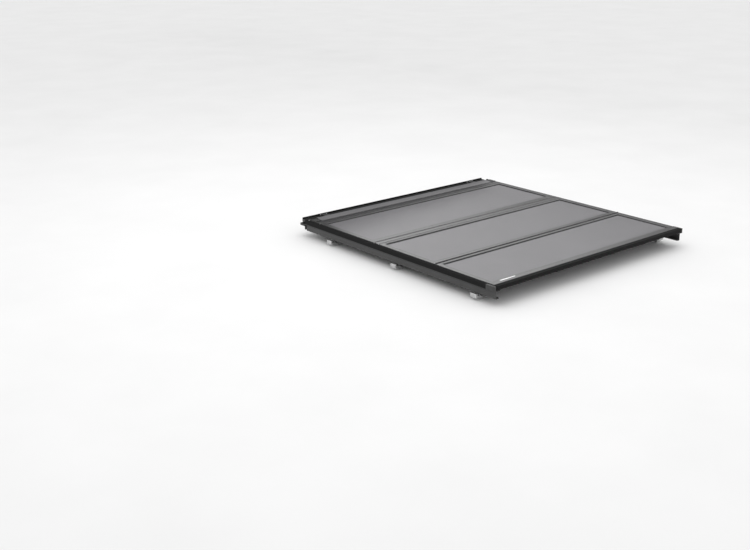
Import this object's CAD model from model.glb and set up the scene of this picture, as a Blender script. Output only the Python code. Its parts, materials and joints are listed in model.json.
"""Looks of the hard folding tonneau cover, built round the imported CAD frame."""
import json
import math

import bmesh
import bpy
from mathutils import Matrix, Vector


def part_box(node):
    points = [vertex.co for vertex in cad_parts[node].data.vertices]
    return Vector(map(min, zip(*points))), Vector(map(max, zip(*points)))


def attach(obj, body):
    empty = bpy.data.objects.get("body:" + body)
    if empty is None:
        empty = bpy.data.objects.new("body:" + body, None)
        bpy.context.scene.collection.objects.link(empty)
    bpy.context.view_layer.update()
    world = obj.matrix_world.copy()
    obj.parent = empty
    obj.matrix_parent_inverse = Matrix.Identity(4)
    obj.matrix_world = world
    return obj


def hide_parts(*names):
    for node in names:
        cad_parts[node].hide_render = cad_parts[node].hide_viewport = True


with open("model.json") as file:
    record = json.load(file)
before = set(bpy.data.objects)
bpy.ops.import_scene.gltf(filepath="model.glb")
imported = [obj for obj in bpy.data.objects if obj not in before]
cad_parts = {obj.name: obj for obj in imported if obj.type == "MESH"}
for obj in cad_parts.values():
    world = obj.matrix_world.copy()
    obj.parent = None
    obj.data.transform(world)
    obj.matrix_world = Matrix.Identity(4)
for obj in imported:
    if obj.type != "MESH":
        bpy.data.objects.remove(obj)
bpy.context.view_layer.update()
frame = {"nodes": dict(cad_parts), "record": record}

NODES = frame["nodes"]
BODIES = frame["record"]["behaviour"]["bodies"]
BODY_OF = {node: body for body, nodes in BODIES.items() for node in nodes}
SLOT_OF = {part["node"]: part["material_slot"] for part in frame["record"]["subparts"]}
SIDES = {"left": -1, "right": 1}
PANELS = ("panel_1", "panel_2", "panel_3")
MM = 0.001


# ---- camera -------------------------------------------------------------------------------
def make_camera():
    """Camera behind and to the left of the cover, above it; the angles are in radians."""
    place = Vector((-4.6422, -4.4608, 1.9871))
    heading, pitch, roll = 0.6943, 0.3320, -0.0043
    data = bpy.data.cameras.new("camera")
    data.sensor_width = 36.0
    data.lens = 51.465
    data.shift_x = 0.0026
    data.shift_y = -0.0007
    camera = bpy.data.objects.new("camera", data)
    bpy.context.scene.collection.objects.link(camera)
    forward = Vector((
        math.sin(heading) * math.cos(pitch),
        math.cos(heading) * math.cos(pitch),
        -math.sin(pitch),
    ))
    turn = forward.to_track_quat("-Z", "Y").to_matrix()
    camera.matrix_world = Matrix.Translation(place) @ (turn @ Matrix.Rotation(roll, 3, "Z")).to_4x4()
    bpy.context.scene.camera = camera


make_camera()


# ---- material helpers ---------------------------------------------------------------------
class Shader:
    """A material's node tree, with short calls for the nodes the finishes share."""

    def __init__(self, name, roughness, metallic=0.0, specular=0.5):
        self.material = bpy.data.materials.new(name)
        self.material.use_nodes = True
        self.tree = self.material.node_tree
        self.surface = self.tree.nodes["Principled BSDF"]
        self.set("Roughness", roughness)
        self.set("Metallic", metallic)
        self.set("Specular IOR Level", specular)
        self.place = self.node("ShaderNodeTexCoord").outputs["Object"]

    def set(self, socket, value):
        """Fix one of the surface's inputs."""
        self.surface.inputs[socket].default_value = value

    def node(self, kind, **settings):
        """New node with those settings."""
        made = self.tree.nodes.new(kind)
        for key, value in settings.items():
            setattr(made, key, value)
        return made

    def link(self, output, target):
        """Join an output to an input."""
        self.tree.links.new(output, target)

    def stretched(self, scale):
        """Object coordinates times scale on each axis."""
        mapping = self.node("ShaderNodeMapping")
        mapping.inputs["Scale"].default_value = scale
        self.link(self.place, mapping.inputs["Vector"])
        return mapping.outputs["Vector"]

    def noise(self, scale, detail=3.0, where=None):
        """Cloudy noise from 0 to 1."""
        made = self.node("ShaderNodeTexNoise")
        made.inputs["Scale"].default_value = scale
        made.inputs["Detail"].default_value = detail
        made.inputs["Roughness"].default_value = 0.55
        self.link(where or self.place, made.inputs["Vector"])
        return made.outputs["Fac"]

    def cells(self, scale, feature="F1"):
        """Distances in a pattern of cells."""
        made = self.node("ShaderNodeTexVoronoi", feature=feature)
        made.inputs["Scale"].default_value = scale
        self.link(self.place, made.inputs["Vector"])
        return made.outputs["Distance"]

    def ranged(self, value, low, high, start=0.3, end=0.7):
        """value's stretch from start to end turned into low to high."""
        made = self.node("ShaderNodeMapRange")
        made.inputs["From Min"].default_value = start
        made.inputs["From Max"].default_value = end
        made.inputs["To Min"].default_value = low
        made.inputs["To Max"].default_value = high
        self.link(value, made.inputs["Value"])
        return made.outputs["Result"]

    def ramp(self, value, low, high, start=0.3, end=0.7):
        """Colour between low and high as value goes from start to end."""
        made = self.node("ShaderNodeValToRGB")
        stops = made.color_ramp.elements
        stops[0].position, stops[1].position = start, end
        stops[0].color, stops[1].color = (*low, 1), (*high, 1)
        self.link(value, made.inputs["Fac"])
        return made.outputs["Color"]

    def mixed(self, factor, first, second):
        """Colour first where factor is 0 and second where it is 1."""
        made = self.node("ShaderNodeMix", data_type="RGBA")
        for socket, colour in ((made.inputs[6], first), (made.inputs[7], second)):
            if isinstance(colour, tuple):
                socket.default_value = (*colour, 1)
            else:
                self.link(colour, socket)
        self.link(factor, made.inputs[0])
        return made.outputs[2]

    def product(self, first, second):
        """First times second."""
        made = self.node("ShaderNodeMath", operation="MULTIPLY")
        self.link(first, made.inputs[0])
        self.link(second, made.inputs[1])
        return made.outputs[0]

    def worn_edges(self, radius, amount):
        """0 on flat faces, rising to amount at edges sharper than radius."""
        bevel = self.node("ShaderNodeBevel", samples=4)
        bevel.inputs["Radius"].default_value = radius
        geometry = self.node("ShaderNodeNewGeometry")
        dot = self.node("ShaderNodeVectorMath", operation="DOT_PRODUCT")
        self.link(bevel.outputs["Normal"], dot.inputs[0])
        self.link(geometry.outputs["Normal"], dot.inputs[1])
        return self.ranged(dot.outputs["Value"], amount, 0.0, 0.80, 0.99)

    def bump(self, height, distance, after=None):
        """Surface relief of that height, laid over the relief given as after."""
        made = self.node("ShaderNodeBump")
        made.inputs["Distance"].default_value = distance
        made.inputs["Strength"].default_value = 1.0
        self.link(height, made.inputs["Height"])
        if after is not None:
            self.link(after, made.inputs["Normal"])
        return made.outputs["Normal"]

    def finish(self, colour, roughness=None, normal=None):
        """Join what was made to the surface and give back the material."""
        self.link(colour, self.surface.inputs["Base Color"])
        if roughness is not None:
            self.link(roughness, self.surface.inputs["Roughness"])
        if normal is not None:
            self.link(normal, self.surface.inputs["Normal"])
        return self.material


def grey(value, tint=0.0):
    """Grey of that value; tint lifts the blue and lowers the green a little."""
    return (value, value * (1 - tint), value * (1 + tint))


# ---- finishes -----------------------------------------------------------------------------
def powder_coat(name, dark, light, roughness=0.36, specular=0.5):
    """Satin powder coat: fine orange peel, faint clouding, paler rubbed edges."""
    s = Shader(name, roughness, specular=specular)
    peel = s.noise(700, 4)
    clouds = s.noise(9, 3)
    base = s.ramp(clouds, dark, light)
    rubbed = s.mixed(s.worn_edges(0.0012, 0.35), base, tuple(c * 2.2 for c in light))
    rough = s.ranged(s.noise(60, 5), roughness - 0.03, roughness + 0.05)
    return s.finish(rubbed, rough, s.bump(peel, 0.00006))


def textured_skin():
    """Matte charcoal panel skin with a fine pebbled grain."""
    s = Shader("skin_pebbled", 0.6, specular=0.5)
    pebbles = s.cells(620, "SMOOTH_F1")
    fine = s.noise(1900, 3)
    clouds = s.noise(5, 4)
    specks = s.noise(420, 4)
    base = s.ramp(clouds, grey(0.112, 0.03), grey(0.126, 0.03))
    base = s.mixed(s.ranged(specks, 0.0, 0.25), base, grey(0.165, 0.03))
    rough = s.ranged(specks, 0.34, 0.44)
    first = s.bump(pebbles, 0.00022)
    return s.finish(base, rough, s.bump(fine, 0.00006, after=first))


def moulded_plastic():
    """Spark-eroded black polymer."""
    light = 0.032
    s = Shader("black_plastic_moulded", 0.5, specular=0.45)
    grain = s.noise(1400, 4)
    clouds = s.noise(30, 3)
    base = s.ramp(clouds, grey(light * 0.8), grey(light * 1.15))
    worn = s.mixed(s.worn_edges(0.0008, 0.3), base, grey(light * 2.5))
    rough = s.ranged(grain, 0.42, 0.6)
    return s.finish(worn, rough, s.bump(grain, 0.00008))


def black_rubber():
    """Matte extruded rubber with faint draw lines along its length and a dusty bloom."""
    s = Shader("rubber_extruded", 0.7, specular=0.14)
    lines = s.noise(1.0, 3, where=s.stretched((900, 30, 900)))
    bloom = s.noise(45, 5)
    base = s.ramp(bloom, grey(0.006), grey(0.012))
    rough = s.ranged(bloom, 0.62, 0.8)
    return s.finish(base, rough, s.bump(lines, 0.00005))


def foam():
    """Open-celled black foam tape."""
    s = Shader("foam_cells", 0.9, specular=0.2)
    cells = s.cells(900)
    base = s.ramp(cells, grey(0.018), grey(0.05), 0.1, 0.6)
    rough = s.ranged(cells, 0.8, 0.95)
    return s.finish(base, rough, s.bump(cells, 0.0004))


def cast_metal():
    """Blasted and anodised aluminium of the clamps."""
    s = Shader("clamp_blasted", 0.42, metallic=1.0)
    grain = s.noise(1500, 4)
    clouds = s.noise(40, 4)
    base = s.ramp(clouds, grey(0.50), grey(0.62))
    worn = s.mixed(s.worn_edges(0.0008, 0.6), base, grey(0.78))
    rough = s.ranged(s.noise(220, 4), 0.36, 0.5)
    return s.finish(worn, rough, s.bump(grain, 0.00006))


def plated_steel():
    """Zinc-plated steel, with fine turning marks and cloudy plating."""
    s = Shader("steel_plated", 0.28, metallic=1.0)
    marks = s.noise(1.0, 3, where=s.stretched((60, 60, 4200)))
    clouds = s.noise(120, 4)
    base = s.ramp(clouds, (0.52, 0.53, 0.55), (0.66, 0.66, 0.65))
    rough = s.ranged(s.noise(300, 4), 0.22, 0.36)
    return s.finish(base, rough, s.bump(marks, 0.00003))


def board():
    """Paper honeycomb board, seen only where the core is cut."""
    s = Shader("core_board", 0.85, specular=0.2)
    fibres = s.noise(1.0, 5, where=s.stretched((60, 700, 60)))
    cells = s.cells(160, "DISTANCE_TO_EDGE")
    base = s.ramp(fibres, (0.52, 0.40, 0.27), (0.70, 0.58, 0.42))
    rough = s.ranged(fibres, 0.75, 0.9)
    return s.finish(base, rough, s.bump(cells, 0.001))


def webbing():
    """Black polyester webbing: ribs across the strap and twill along it."""
    s = Shader("webbing_woven", 0.75, specular=0.25)
    s.set("Sheen Weight", 0.25)
    wave = s.node("ShaderNodeTexWave", bands_direction="Y")
    wave.inputs["Scale"].default_value = 180
    wave.inputs["Distortion"].default_value = 0.4
    s.link(s.place, wave.inputs["Vector"])
    across = s.node("ShaderNodeTexWave", bands_direction="X")
    across.inputs["Scale"].default_value = 260
    s.link(s.place, across.inputs["Vector"])
    weave = s.product(wave.outputs["Fac"], across.outputs["Fac"])
    fuzz = s.noise(2600, 3)
    base = s.ramp(weave, grey(0.012), grey(0.045), 0.1, 0.8)
    rough = s.ranged(fuzz, 0.68, 0.85)
    return s.finish(base, rough, s.bump(weave, 0.0003))


def anodised_plate():
    """Clear anodised aluminium with a fine brush along X."""
    s = Shader("badge_brushed", 0.3, metallic=1.0)
    brush = s.noise(1.0, 4, where=s.stretched((25, 2600, 2600)))
    base = s.ramp(brush, grey(0.70), grey(0.84))
    rough = s.ranged(brush, 0.25, 0.42)
    return s.finish(base, rough, s.bump(brush, 0.00003))


FINISHES = {
    "frame_coat": powder_coat("frame_coat_satin", grey(0.030, 0.02), grey(0.038, 0.02), 0.30, 0.55),
    "cover_strip": powder_coat("cover_strip_satin", grey(0.105, 0.02), grey(0.120, 0.02), 0.45, 0.4),
    "skin": textured_skin(),
    "core": board(),
    "black_plastic": moulded_plastic(),
    "rail_coat": powder_coat("rail_coat_satin", grey(0.036), grey(0.046), 0.42),
    "rubber": black_rubber(),
    "foam_tape": foam(),
    "clamp_metal": cast_metal(),
    "steel": plated_steel(),
    "rod_coat": powder_coat("rod_coat_satin", grey(0.026), grey(0.034), 0.38),
    "webbing": webbing(),
    "badge": anodised_plate(),
}


def dress(thing, slot):
    """Give an object its slot's finish."""
    thing.data.materials.clear()
    thing.data.materials.append(FINISHES[slot])


for node_name, node_object in NODES.items():
    dress(node_object, SLOT_OF[node_name])


# ---- mesh helpers -------------------------------------------------------------------------
def new_piece(name, mesh, body, slot, replaced=()):
    """Show a mesh as a piece of that body, with its slot's finish, in place of CAD nodes."""
    piece = bpy.data.objects.new(name, mesh)
    bpy.context.scene.collection.objects.link(piece)
    dress(piece, slot)
    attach(piece, body)
    if replaced:
        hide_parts(*replaced)
    return piece


def finished_mesh(name, bm, smooth_angle=35.0):
    """Turn a bmesh into a mesh, smooth except across its sharp edges."""
    bmesh.ops.recalc_face_normals(bm, faces=bm.faces)
    for edge in bm.edges:
        edge.smooth = edge.calc_face_angle(0.0) < math.radians(smooth_angle)
    for face in bm.faces:
        face.smooth = True
    mesh = bpy.data.meshes.new(name)
    bm.to_mesh(mesh)
    bm.free()
    return mesh


def skin_rings(bm, rings, closed=False):
    """Join rings of as many points each with faces; the two end rings are capped unless closed."""
    rows = [[bm.verts.new(point) for point in ring] for ring in rings]
    count = len(rows[0])
    pairs = list(zip(rows, rows[1:])) + ([(rows[-1], rows[0])] if closed else [])
    for first, second in pairs:
        for i in range(count):
            j = (i + 1) % count
            bm.faces.new((first[i], first[j], second[j], second[i]))
    if not closed:
        bm.faces.new(rows[0][::-1])
        bm.faces.new(rows[-1])


def rounded_loop(corners, steps=4):
    """Points of a closed outline through corners (u, v, radius)."""
    points = []
    for i, (u, v, radius) in enumerate(corners):
        here = Vector((u, v))
        back = (Vector(corners[i - 1][:2]) - here).normalized()
        ahead = (Vector(corners[(i + 1) % len(corners)][:2]) - here).normalized()
        if radius == 0:
            points.append(here)
            continue
        half_angle = back.angle(ahead) / 2
        reach = radius / math.tan(half_angle)
        centre = here + (back + ahead).normalized() * (radius / math.sin(half_angle))
        start, end = here + back * reach - centre, here + ahead * reach - centre
        for step in range(steps + 1):
            points.append(centre + start.slerp(end, step / steps).normalized() * radius)
    return points


def extruded(outline, axis, start, end, round_off=0.0):
    """Run a closed outline along an axis, with its two ends rounded off."""
    steps = 3
    middle = sum(outline, Vector((0, 0))) / len(outline)
    size = max((point - middle).length for point in outline)
    stations = [(start, 0.0), (end, 0.0)]
    if round_off:
        turns = [math.pi / 2 * k / steps for k in range(steps + 1)]
        ends = [(round_off * (1 - math.cos(a)), round_off * (1 - math.sin(a))) for a in turns]
        stations = [(start + depth, drawn) for depth, drawn in ends]
        stations += [(end - depth, drawn) for depth, drawn in reversed(ends)]
    rings = []
    for along, drawn in stations:
        ring = [middle + (point - middle) * (1 - drawn / size) for point in outline]
        if axis == "X":
            rings.append([(along, q.x, q.y) for q in ring])
        elif axis == "Y":
            rings.append([(q.x, along, q.y) for q in ring])
        else:
            rings.append([(q.x, q.y, along) for q in ring])
    bm = bmesh.new()
    skin_rings(bm, rings)
    return bm


def slab(x, y, z, corner, round_off):
    """Block with rounded upright corners and rounded-off top and bottom."""
    corners = [(x[0], y[0], corner), (x[1], y[0], corner), (x[1], y[1], corner), (x[0], y[1], corner)]
    return extruded(rounded_loop(corners), "Z", z[0], z[1], round_off)


def cut_away(bm, other):
    """The first solid less the second; both are used up."""
    things = []
    for part in (bm, other):
        bmesh.ops.recalc_face_normals(part, faces=part.faces)
        mesh = bpy.data.meshes.new("scratch")
        part.to_mesh(mesh)
        part.free()
        thing = bpy.data.objects.new("scratch", mesh)
        bpy.context.scene.collection.objects.link(thing)
        things.append(thing)
    modifier = things[0].modifiers.new("cut", "BOOLEAN")
    modifier.operation = "DIFFERENCE"
    modifier.solver = "EXACT"
    modifier.object = things[1]
    result = bmesh.new()
    result.from_object(things[0], bpy.context.evaluated_depsgraph_get())
    for thing in things:
        mesh = thing.data
        bpy.data.objects.remove(thing)
        bpy.data.meshes.remove(mesh)
    return result


def swept(bm, points, radius):
    """Add a round bar along points that lie in a level plane."""
    segments = 20
    rings = []
    up = Vector((0, 0, 1))
    for i, point in enumerate(points):
        ahead = (points[min(i + 1, len(points) - 1)] - points[max(i - 1, 0)]).normalized()
        side = ahead.cross(up)
        ring = []
        for k in range(segments):
            angle = 2 * math.pi * k / segments
            ring.append(point + side * (radius * math.cos(angle)) + up * (radius * math.sin(angle)))
        rings.append(ring)
    skin_rings(bm, rings)


def merge(bm, other):
    """Add another bmesh's geometry to bm."""
    scratch = bpy.data.meshes.new("scratch")
    other.to_mesh(scratch)
    other.free()
    bm.from_mesh(scratch)
    bpy.data.meshes.remove(scratch)


def hexagonal(across_flats):
    """Function that gives a hexagon's radius at an angle."""
    def radius(angle):
        return across_flats / 2 / math.cos(angle % (math.pi / 3) - math.pi / 6)
    return radius


def turned(bm, rings, place, axis="Z", segments=24):
    """Add a solid of rings (along, radius) round an axis through place; radius may be a function."""
    loops = []
    for along, radius in rings:
        loop = []
        for k in range(segments):
            angle = 2 * math.pi * k / segments
            r = radius(angle) if callable(radius) else radius
            across, up = r * math.cos(angle), r * math.sin(angle)
            local = {
                "Z": (across, up, along),
                "X": (along, across, up),
                "Y": (across, along, up),
            }[axis]
            loop.append(Vector(place) + Vector(local))
        loops.append(loop)
    skin_rings(bm, loops)


def ridged(radius, depth, turns):
    """Function that gives a screw thread's radius at an angle, that many turns up the screw."""
    def ridge(angle):
        phase = (turns - angle / (2 * math.pi)) % 1.0
        return radius - depth * abs(2 * phase - 1)
    return ridge


def threaded(bm, radius, depth, pitch, place, low, high):
    """Add an upright screw thread from low to high."""
    steps, segments = 5, 20
    rings = []
    for k in range(int((high - low) / pitch * steps) + 1):
        along = low + k * pitch / steps
        rings.append((along, ridged(radius, depth, along / pitch)))
    turned(bm, rings, place, "Z", segments)


def eased(node, width):
    """Copy of a CAD node with its sharp edges rounded; the copy stands for the node."""
    bm = bmesh.new()
    bm.from_mesh(NODES[node].data)
    bmesh.ops.remove_doubles(bm, verts=bm.verts, dist=1e-6)
    bmesh.ops.dissolve_limit(bm, angle_limit=math.radians(0.5), verts=bm.verts, edges=bm.edges)
    sharp = [edge for edge in bm.edges if edge.calc_face_angle(0.0) > math.radians(30)]
    bmesh.ops.bevel(bm, geom=sharp, offset=width, offset_type="OFFSET", segments=2,
                    profile=0.5, affect="EDGES", clamp_overlap=True)
    mesh = finished_mesh(node + "_eased", bm, 30.0)
    return new_piece(node + "_eased", mesh, BODY_OF[node], SLOT_OF[node], (node,))


# ---- eased mouldings and castings ---------------------------------------------------------
EASED = {
    "clamp_hooks": 0.5,
    "rail_end_caps": 0.5,
    "header_end_caps": 0.4,
    "prop_rod_keepers": 0.6,
    "prop_rod_clips": 0.4,
    "latch_housings": 0.4,
    "cable_clips": 0.4,
    "drain_corners": 0.4,
    "latch_strike_plates": 0.3,
    "panel_1_corner_caps": 0.25,
    "panel_2_corner_caps": 0.25,
    "panel_3_corner_caps": 0.25,
}
for eased_node, edge_width in EASED.items():
    eased(eased_node, edge_width * MM)
for node_name in NODES:
    if node_name.startswith("clamp_jaw"):
        eased(node_name, 0.5 * MM)


# ---- panels -------------------------------------------------------------------------------
SKIN_TUCK = 7.5 * MM  # how far the skins reach under the frames


def skin_gasket(panel):
    """Thin rubber bead where a panel's skin meets its frame."""
    low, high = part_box(panel + "_skins")
    x0, x1 = low.x + SKIN_TUCK, high.x - SKIN_TUCK
    y0, y1 = low.y + SKIN_TUCK, high.y - SKIN_TUCK
    width, height, base = 2.2 * MM, 1.1 * MM, high.z
    section = [(0.1 * MM, 0), (0.25 * MM, height), (width * 0.6, height * 0.9), (width, 0)]
    rings = []
    for sx, sy in ((-1, -1), (1, -1), (1, 1), (-1, 1)):
        corner = Vector((x0 if sx < 0 else x1, y0 if sy < 0 else y1, base))
        rings.append([corner + Vector((-sx * u, -sy * u, v)) for u, v in section])
    bm = bmesh.new()
    skin_rings(bm, rings, closed=True)
    new_piece(panel + "_skin_gasket", finished_mesh(panel + "_skin_gasket", bm), panel, "rubber")


for panel_name in PANELS:
    skin_gasket(panel_name)


def tailgate_seal():
    """Extruded seal along the rear edge: three drip ribs on top and a hollow-backed bulb below."""
    low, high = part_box("tailgate_seal")
    rear, front, top, bottom = low.y, high.y, high.z, low.z
    back = rear + 5.0 * MM
    ribs = []
    for k in range(3):
        y = front - (4.0 + 5.0 * k) * MM
        ribs += [(y, top, 0.4 * MM), (y - 0.6 * MM, top - 0.9 * MM, 0),
                 (y - 1.6 * MM, top - 0.9 * MM, 0), (y - 2.2 * MM, top, 0.4 * MM)]
    corners = [
        (back, bottom, 0),
        (back, top - 6.0 * MM, 0),
        (front, top - 6.0 * MM, 0),
        (front, top - 0.3 * MM, 0.2 * MM),
        *ribs,
        (rear, top, 2.8 * MM),
        (rear, top - 9.0 * MM, 0.8 * MM),
        (rear + 1.6 * MM, top - 11.0 * MM, 0.8 * MM),
        (rear, top - 13.0 * MM, 0.8 * MM),
        (rear, bottom, 2.2 * MM),
    ]
    bm = extruded(rounded_loop(corners), "X", low.x, high.x, 0.5 * MM)
    mesh = finished_mesh("tailgate_seal_ribbed", bm)
    new_piece("tailgate_seal_ribbed", mesh, "panel_3", "rubber", ("tailgate_seal",))


def side_seals():
    """Upright strips along the rails: two soft lips with a groove between them."""
    low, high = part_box("rail_side_seals")
    width, outer_lip, groove_floor = 12.0 * MM, high.z - 1.0 * MM, high.z - 4.0 * MM
    section = [
        (0, low.z, 0),
        (0, outer_lip, 2.4 * MM),
        (4.2 * MM, outer_lip, 1.2 * MM),
        (5.6 * MM, groove_floor, 0.8 * MM),
        (7.0 * MM, high.z, 1.2 * MM),
        (width, high.z, 2.2 * MM),
        (width, low.z, 0),
    ]
    bm = bmesh.new()
    for side in SIDES.values():
        corners = [(side * (high.x - inset), z, radius) for inset, z, radius in section]
        merge(bm, extruded(rounded_loop(corners), "Y", low.y, high.y, 0.5 * MM))
    mesh = finished_mesh("rail_side_seals_lipped", bm)
    new_piece("rail_side_seals_lipped", mesh, "root", "rubber", ("rail_side_seals",))


tailgate_seal()
side_seals()


# ---- fasteners ----------------------------------------------------------------------------
def solids_of(node):
    """Boxes of a node's separate solids, as pairs of corners."""
    bm = bmesh.new()
    bm.from_mesh(NODES[node].data)
    bmesh.ops.remove_doubles(bm, verts=bm.verts, dist=1e-6)
    unseen = set(bm.verts)
    boxes = []
    while unseen:
        island, waiting = set(), [unseen.pop()]
        while waiting:
            vert = waiting.pop()
            island.add(vert)
            for edge in vert.link_edges:
                other = edge.other_vert(vert)
                if other in unseen:
                    unseen.discard(other)
                    waiting.append(other)
        axes = list(zip(*(vert.co for vert in island)))
        boxes.append((Vector(map(min, axes)), Vector(map(max, axes))))
    bm.free()
    return sorted(boxes, key=lambda pair: tuple(round(c, 4) for c in pair[0]))


def clamp_screws():
    """Hexagon-head screws with a pressed washer face and a rolled thread."""
    head, across, shank = 5.5 * MM, 12.1 * MM, 3.95 * MM
    bm = bmesh.new()
    for low, high in solids_of("clamp_screws"):
        place = ((low.x + high.x) / 2, (low.y + high.y) / 2, 0)
        top = low.z + head
        hexagon = hexagonal(across)
        rings = [
            (low.z, across * 0.40),
            (low.z + 0.7 * MM, hexagon),
            (top - 1.6 * MM, hexagon),
            (top - 1.4 * MM, across * 0.47),
            (top - 1.3 * MM, 6.9 * MM),
            (top, 6.9 * MM),
            (top + 0.1 * MM, shank),
            (top + 3.0 * MM, shank),
        ]
        turned(bm, rings, place)
        threaded(bm, shank, 0.55 * MM, 1.25 * MM, place, top + 3.0 * MM, high.z - 1.0 * MM)
        turned(bm, [(high.z - 1.0 * MM, shank * 0.86), (high.z, shank * 0.7)], place)
    mesh = finished_mesh("clamp_screws_threaded", bm)
    new_piece("clamp_screws_threaded", mesh, "root", "steel", ("clamp_screws",))


def socket_button(bm, place, axis, outward, radius, height):
    """Button-head screw with a hexagon socket, standing on place."""
    hexagon = hexagonal(radius * 0.95)
    profile = [
        (0, radius),
        (height * 0.35, radius),
        (height * 0.75, radius * 0.86),
        (height, radius * 0.62),
        (height, hexagon),
        (height * 0.35, hexagon),
    ]
    turned(bm, [(outward * along, r) for along, r in profile], place, axis)


def dome(bm, place, axis, outward, radius, height):
    """Rivet or pin head standing on place."""
    steps = [(0, 1.0), (0.45, 0.93), (0.8, 0.68), (1.0, 0.25)]
    turned(bm, [(outward * height * a, radius * r) for a, r in steps], place, axis, 20)


def header_bolts():
    """Header bolts with socket heads, hexagon nuts and plain spacer tubes."""
    bm = bmesh.new()
    groups = {}
    for low, high in solids_of("header_bolts"):
        key = (round((low.x + high.x) / 2, 4), round((low.y + high.y) / 2, 4))
        groups.setdefault(key, []).append((low, high))
    for (x, y), boxes in groups.items():
        bolt = max(boxes, key=lambda pair: pair[1].z - pair[0].z)
        sleeve = min(boxes, key=lambda pair: pair[1].z - pair[0].z)
        low, high = bolt
        seat = high.z - 3.5 * MM
        socket_button(bm, (x, y, seat), "Z", 1, 5.0 * MM, 3.5 * MM)
        threaded(bm, 3.0 * MM, 0.4 * MM, 1.0 * MM, (x, y, 0), low.z, seat)
        hexagon = hexagonal(9.0 * MM)
        nut = [(low.z + 1.0 * MM, 4.0 * MM), (low.z + 1.6 * MM, hexagon),
               (low.z + 5.4 * MM, hexagon), (low.z + 6.0 * MM, 4.2 * MM)]
        turned(bm, nut, (x, y, 0))
        tube = [(sleeve[0].z, 5.1 * MM), (sleeve[0].z + 0.4 * MM, 5.5 * MM),
                (sleeve[1].z - 0.4 * MM, 5.5 * MM), (sleeve[1].z, 5.1 * MM)]
        turned(bm, tube, (x, y, 0))
    mesh = finished_mesh("header_bolts_threaded", bm)
    new_piece("header_bolts_threaded", mesh, "root", "steel", ("header_bolts",))


def cap_screws(panel):
    """Button screws through a panel's corner caps into the frames."""
    bm = bmesh.new()
    for low, high in solids_of(panel + "_corner_caps"):
        outward = 1 if high.x > 0 else -1
        face = high.x if outward > 0 else low.x
        length, y, z = high.y - low.y, (low.y + high.y) / 2, low.z + (high.z - low.z) * 0.28
        for offset in ((-1, 1) if length > 30 * MM else (0,)):
            place = (face, y + offset * length * 0.32, z)
            socket_button(bm, place, "X", outward, 2.6 * MM, 1.3 * MM)
    new_piece(panel + "_cap_screws", finished_mesh(panel + "_cap_screws", bm), panel, "steel")


def pin_heads(name, node, body):
    """Domed heads on both ends of a node's hinge pins."""
    bm = bmesh.new()
    for low, high in solids_of(node):
        y, z = (low.y + high.y) / 2, (low.z + high.z) / 2
        dome(bm, (low.x, y, z), "X", -1, 3.2 * MM, 1.6 * MM)
        dome(bm, (high.x, y, z), "X", 1, 3.2 * MM, 1.6 * MM)
    new_piece(name, finished_mesh(name, bm), body, "steel")


def spigot_barbs():
    """Three hose barbs round each of the two drain spigots."""
    spigot_x, pitch, root, crest = 793 * MM, 7.0 * MM, 5.6 * MM, 6.9 * MM
    bm = bmesh.new()
    for low, high in solids_of("drain_corners"):
        side = 1 if high.x > 0 else -1
        place = (side * spigot_x, (low.y + high.y) / 2, low.z)
        for k in range(3):
            z = 2.0 * MM + pitch * k
            barb = [(z, root), (z + 4.2 * MM, crest), (z + 4.5 * MM, root)]
            turned(bm, barb, place, "Z", 28)
    new_piece("drain_spigot_barbs", finished_mesh("drain_spigot_barbs", bm), "root", "black_plastic")


clamp_screws()
header_bolts()
for panel_name in PANELS:
    cap_screws(panel_name)
pin_heads("front_pin_heads", "front_hinge_pin", "root")
pin_heads("link_pin_heads", "link_hinge_pins", "link")
pin_heads("rear_pin_heads", "rear_hinge_pin", "panel_2")
spigot_barbs()


# ---- stowage buckles and straps -----------------------------------------------------------
def female_buckle(side_name):
    """Socket half: a waisted body with grip grooves, side windows and an eye round the pin."""
    node = "buckle_" + side_name
    low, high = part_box(node)
    x = (low.x + high.x) / 2
    y, z = high.y - 5.0 * MM, high.z - 6.0 * MM
    half, rear, front = 21.0 * MM, y - 52.0 * MM, y - 12.0 * MM
    outline = [
        (x - half, rear, 3 * MM), (x + half, rear, 3 * MM),
        (x + half, y - 43 * MM, 2 * MM), (x + half - 2.2 * MM, y - 33 * MM, 8 * MM),
        (x + half, y - 23 * MM, 2 * MM), (x + half - 3 * MM, front, 4 * MM),
        (x - half + 3 * MM, front, 4 * MM), (x - half, y - 23 * MM, 2 * MM),
        (x - half + 2.2 * MM, y - 33 * MM, 8 * MM), (x - half, y - 43 * MM, 2 * MM),
    ]
    body = extruded(rounded_loop(outline), "Z", z - 5 * MM, z + 6 * MM, 1.8 * MM)
    socket = slab((x - 16 * MM, x + 16 * MM), (rear - 2 * MM, y - 20 * MM), (z - 3 * MM, z + 4 * MM),
                  1.5 * MM, 0.8 * MM)
    body = cut_away(body, socket)
    for edge in (-1, 1):
        ends = sorted((x + edge * 15 * MM, x + edge * 23 * MM))
        window = slab(ends, (y - 40 * MM, y - 26 * MM), (z - 2 * MM, z + 3 * MM), 1.4 * MM, 0.5 * MM)
        body = cut_away(body, window)
    for k in range(4):
        groove_y = y - (18.5 + 2.4 * k) * MM
        groove = slab((x - 9 * MM, x + 9 * MM), (groove_y - 0.6 * MM, groove_y + 0.6 * MM),
                      (z + 5.3 * MM, z + 7 * MM), 0.5 * MM, 0.1 * MM)
        body = cut_away(body, groove)
    neck = slab((x - 12 * MM, x + 12 * MM), (y - 16 * MM, y - 3.5 * MM), (z - 2 * MM, z + 2 * MM),
                1.0 * MM, 0.6 * MM)
    merge(body, neck)
    merge(body, ring_of((x - half, y, z), 2 * half, 5.0 * MM, 2.55 * MM))
    new_piece(node + "_moulded", finished_mesh(node + "_moulded", body), BODY_OF[node], "black_plastic",
              (node,))


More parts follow.
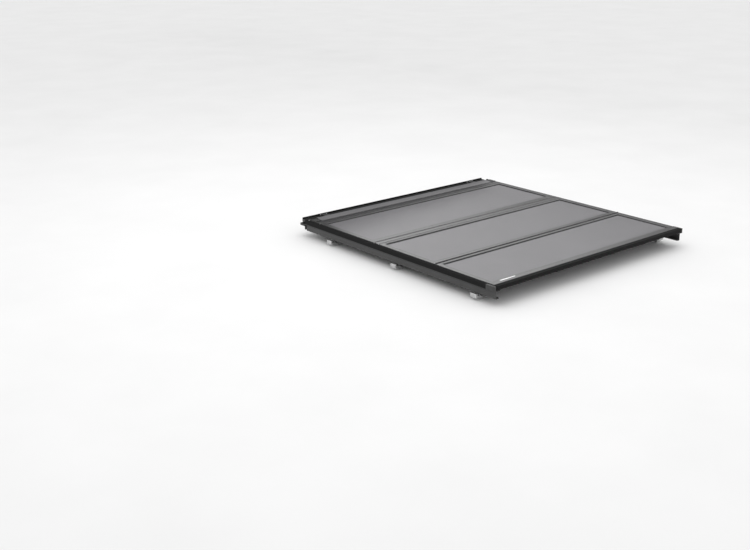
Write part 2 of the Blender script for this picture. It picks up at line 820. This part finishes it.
def ring_of(start, length, outer, inner):
    """Tube along X from start, with its rims rounded off."""
    rim = 0.5 * MM
    rings = [(0, inner), (0, outer - rim), (rim, outer), (length - rim, outer),
             (length, outer - rim), (length, inner)]
    segments = 28
    rows = []
    for along, radius in rings:
        angles = [2 * math.pi * k / segments for k in range(segments)]
        rows.append([Vector(start) + Vector((along, radius * math.cos(a), radius * math.sin(a)))
                     for a in angles])
    bm = bmesh.new()
    skin_rings(bm, rows, closed=True)
    return bm


def male_buckles():
    """Plug halves: a slotted strap bar, a centre guide and two sprung barbed prongs."""
    whole = bmesh.new()
    for low, high in solids_of("male_buckles"):
        x = (low.x + high.x) / 2
        bar_end = low.y + 20 * MM
        bar = slab((low.x, high.x), (low.y, bar_end), (low.z, high.z), 3 * MM, 1.2 * MM)
        for start in (4.0, 11.5):
            slot = slab((x - 13.5 * MM, x + 13.5 * MM), (low.y + start * MM, low.y + (start + 3.5) * MM),
                        (low.z - MM, high.z + MM), 0.8 * MM, 0.1 * MM)
            bar = cut_away(bar, slot)
        merge(whole, bar)
        z = (low.z + 1.5 * MM, low.z + 5.5 * MM)
        guide = slab((x - 2 * MM, x + 2 * MM), (bar_end - MM, high.y - 4 * MM), z, 1.4 * MM, 0.5 * MM)
        merge(whole, guide)
        for side in (-1, 1):
            prong = [
                (8.6, 19.0, 0), (13.0, 19.0, 0), (12.2, 33.0, 6), (15.0, 36.0, 0.8), (14.6, 42.0, 3),
                (10.2, 48.0, 1.0), (8.0, 46.0, 0.8), (9.0, 38.0, 4),
            ]
            corners = [(x + side * u * MM, low.y + v * MM, r * MM) for u, v, r in prong]
            merge(whole, extruded(rounded_loop(corners), "Z", z[0], z[1], 0.6 * MM))
    mesh = finished_mesh("male_buckles_moulded", whole)
    new_piece("male_buckles_moulded", mesh, "panel_2", "black_plastic", ("male_buckles",))


def stitch(bm, start, end, radius):
    """One stitch: a short rounded thread lying from start to end."""
    ahead = end - start
    side = ahead.cross(Vector((0, 0, 1))).normalized()
    rings = []
    for along, size in ((0.0, 0.35), (0.2, 0.9), (0.5, 1.0), (0.8, 0.9), (1.0, 0.35)):
        ring = []
        for k in range(6):
            angle = math.pi / 3 * k
            spread = side * math.cos(angle) + Vector((0, 0, 1)) * math.sin(angle)
            ring.append(start + ahead * along + spread * (radius * size))
        rings.append(ring)
    skin_rings(bm, rings)


def stitch_row(bm, start, end):
    """A row of stitches from start to end."""
    pitch, length, radius = 3.0 * MM, 2.2 * MM, 0.3 * MM
    ahead = (end - start).normalized()
    for k in range(int((end - start).length / pitch)):
        here = start + ahead * (k * pitch)
        stitch(bm, here, here + ahead * length, radius)


def strap_section(low, high, top, bottom):
    """Outline of a flat strap across X: ribbed faces between two thin edges."""
    ribs, relief, edge = 8, 0.12 * MM, 0.6 * MM
    under, over = [], []
    for k in range(ribs + 1):
        u = low.x + edge + (high.x - low.x - 2 * edge) * k / ribs
        dip = relief if k % 2 else 0
        under.append(Vector((u, bottom + dip)))
        over.append(Vector((u, top - dip)))
    middle = (top + bottom) / 2
    return [*under, Vector((high.x, middle)), *reversed(over), Vector((low.x, middle))]


def box_stitching(bm, low, high, z):
    """Box of stitches with crossed diagonals, under the strap's looped end."""
    near, far = high.y - 20 * MM, high.y - 42 * MM
    left, right = low.x + 3 * MM, high.x - 3 * MM
    corners = [Vector((x, y, z)) for x, y in ((left, near), (right, near), (right, far), (left, far))]
    for i, corner in enumerate(corners):
        stitch_row(bm, corner, corners[(i + 1) % 4])
    stitch_row(bm, corners[0], corners[2])
    stitch_row(bm, corners[1], corners[3])


def strap_rivet(bm, x, y, bottom):
    """Rivet and washer under the strap's fixed end."""
    washer = [(0.2 * MM, 5.5 * MM), (-0.5 * MM, 5.5 * MM), (-0.7 * MM, 5.2 * MM)]
    turned(bm, washer, (x, y, bottom))
    dome(bm, (x, y, bottom - 0.6 * MM), "Z", -1, 3.2 * MM, 1.2 * MM)


def buckle_straps():
    """Flat webbing straps, each with a box of stitching and a rivet."""
    thread, rivets = bmesh.new(), bmesh.new()
    for (low, high), side_name in zip(solids_of("buckle_straps"), SIDES):
        thick = high.z - low.z - 0.25 * MM
        top, bottom = high.z, high.z - thick
        strap = extruded(strap_section(low, high, top, bottom), "Y", low.y, high.y)
        name = "buckle_strap_woven_" + side_name
        mesh = finished_mesh(name, strap, 60)
        piece = new_piece(name, mesh, "panel_2", "webbing", ("buckle_straps",))
        box_stitching(thread, low, high, bottom + 0.05 * MM)
        strap_rivet(rivets, (low.x + high.x) / 2, low.y + 12 * MM, bottom)
    mesh = finished_mesh("buckle_strap_stitching", thread)
    new_piece("buckle_strap_stitching", mesh, "panel_2", "webbing")
    mesh = finished_mesh("buckle_strap_rivets", rivets)
    new_piece("buckle_strap_rivets", mesh, "panel_2", "steel")


for buckle_side in SIDES:
    female_buckle(buckle_side)
male_buckles()
buckle_straps()


# ---- prop rods and badge ------------------------------------------------------------------
def prop_rod(side_name, side):
    """Round rod with an eye at its pivot and its foot bent outwards; side is -1 or 1."""
    node = "prop_rod_" + side_name
    low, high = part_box(node)
    radius, eye, bend = 4.0 * MM, 6.0 * MM, 9.0 * MM
    inner = low.x if side > 0 else high.x
    outer = high.x if side > 0 else low.x
    x = inner + side * 6.5 * MM
    pivot_y, foot_y, z = high.y - eye, low.y + radius, (low.z + high.z) / 2
    points = [Vector((x, pivot_y - 4.0 * MM, z)), Vector((x, pivot_y - 8.0 * MM, z))]
    for k in range(9):
        angle = math.pi / 2 * k / 8
        across, back = bend * (1 - math.cos(angle)), bend * (1 - math.sin(angle))
        points.append(Vector((x + side * across, foot_y + back, z)))
    points.append(Vector((outer - side * 0.8 * MM, foot_y, z)))
    bm = bmesh.new()
    swept(bm, points, radius)
    tip = [(0, radius), (0.5 * MM, radius * 0.92), (0.8 * MM, radius * 0.75)]
    turned(bm, [(side * along, r) for along, r in tip], (outer - side * 0.8 * MM, foot_y, z), "X", 20)
    merge(bm, ring_of((x - 6.5 * MM, pivot_y, z), 13 * MM, eye, 3.05 * MM))
    new_piece(node + "_bent", finished_mesh(node + "_bent", bm), BODY_OF[node], "rod_coat", (node,))


def badge():
    """Plain plate with rounded corners and a dome-headed pin near each end."""
    low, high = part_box("badge_plate")
    corner = 1.6 * MM
    plate = slab((low.x, high.x), (low.y, high.y), (low.z, high.z), corner, 0.2 * MM)
    y = (low.y + high.y) / 2
    for x in (low.x + 4 * MM, high.x - 4 * MM):
        dome(plate, (x, y, high.z - 0.1 * MM), "Z", 1, 1.3 * MM, 0.6 * MM)
    new_piece("badge_plate_rounded", finished_mesh("badge_plate_rounded", plate), "panel_3", "badge",
              ("badge_plate",))


for rod_side, rod_outward in SIDES.items():
    prop_rod(rod_side, rod_outward)
badge()


# ---- floor, lights ------------------------------------------------------------------------
def make_floor():
    """Large pale floor with a faint mottle."""
    mesh = bpy.data.meshes.new("floor")
    half = 40.0
    corners = [(-half, -half, 0), (half, -half, 0), (half, half, 0), (-half, half, 0)]
    mesh.from_pydata(corners, [], [(0, 1, 2, 3)])
    floor = bpy.data.objects.new("floor", mesh)
    bpy.context.scene.collection.objects.link(floor)
    s = Shader("floor_pale", 0.8, specular=0.2)
    mottle = s.noise(1.5, 3)
    mesh.materials.append(s.finish(s.ramp(mottle, grey(0.80), grey(0.83)), s.ranged(mottle, 0.75, 0.85)))


def area_light(name, place, target, size, power):
    """White rectangular light at place, turned to target, that the camera doesn't see."""
    data = bpy.data.lights.new(name, "AREA")
    data.shape = "RECTANGLE"
    data.size, data.size_y = size
    data.energy = power
    lamp = bpy.data.objects.new(name, data)
    lamp.visible_camera = False
    bpy.context.scene.collection.objects.link(lamp)
    aim = (Vector(target) - Vector(place)).to_track_quat("-Z", "Y")
    lamp.matrix_world = Matrix.Translation(place) @ aim.to_matrix().to_4x4()
    return lamp


def sheen_only(thing):
    """Let a light or card show only as a reflection in shiny surfaces."""
    thing.visible_camera = False
    thing.visible_diffuse = False
    thing.visible_shadow = False


def make_flag(name, corners):
    """Dark studio card that only shades the satin frames' sheen."""
    mesh = bpy.data.meshes.new(name)
    mesh.from_pydata(corners, [], [(0, 1, 2, 3)])
    flag = bpy.data.objects.new(name, mesh)
    bpy.context.scene.collection.objects.link(flag)
    sheen_only(flag)
    s = Shader(name + "_cloth", 0.9, specular=0.1)
    cloth = s.noise(40, 3)
    mesh.materials.append(s.finish(s.ramp(cloth, grey(0.05), grey(0.07))))


def make_flags():
    """A tall card far to the right, and a low one just in front of the header."""
    x, rear, front, top = 5, -3, 12, 2.1
    make_flag("right_flag", [(x, rear, 0), (x, front, 0), (x, front, top), (x, rear, top)])
    half, y, bottom, top = 1, 0.98, 0.15, 0.36
    make_flag("front_flag", [(-half, y, bottom), (half, y, bottom), (half, y, top), (-half, y, top)])


def make_studio():
    """White surroundings, a softbox overhead, and a long one at the right for the frames' sheen."""
    world = bpy.data.worlds.new("studio")
    world.use_nodes = True
    world.node_tree.nodes["Background"].inputs["Color"].default_value = (1.0, 1.0, 1.0, 1)
    world.node_tree.nodes["Background"].inputs["Strength"].default_value = 1.0
    bpy.context.scene.world = world
    bpy.context.scene.view_settings.view_transform = "Standard"
    area_light("overhead_softbox", place=(-0.6, 0.4, 4.2), target=(0, 0, 0), size=(4.5, 4.5), power=60)
    sheen_only(area_light("side_softbox", place=(5.2, 5.0, 4.0), target=(0, 5.0, 2.9),
                          size=(10.0, 2.4), power=140))


make_flags()
make_floor()
make_studio()
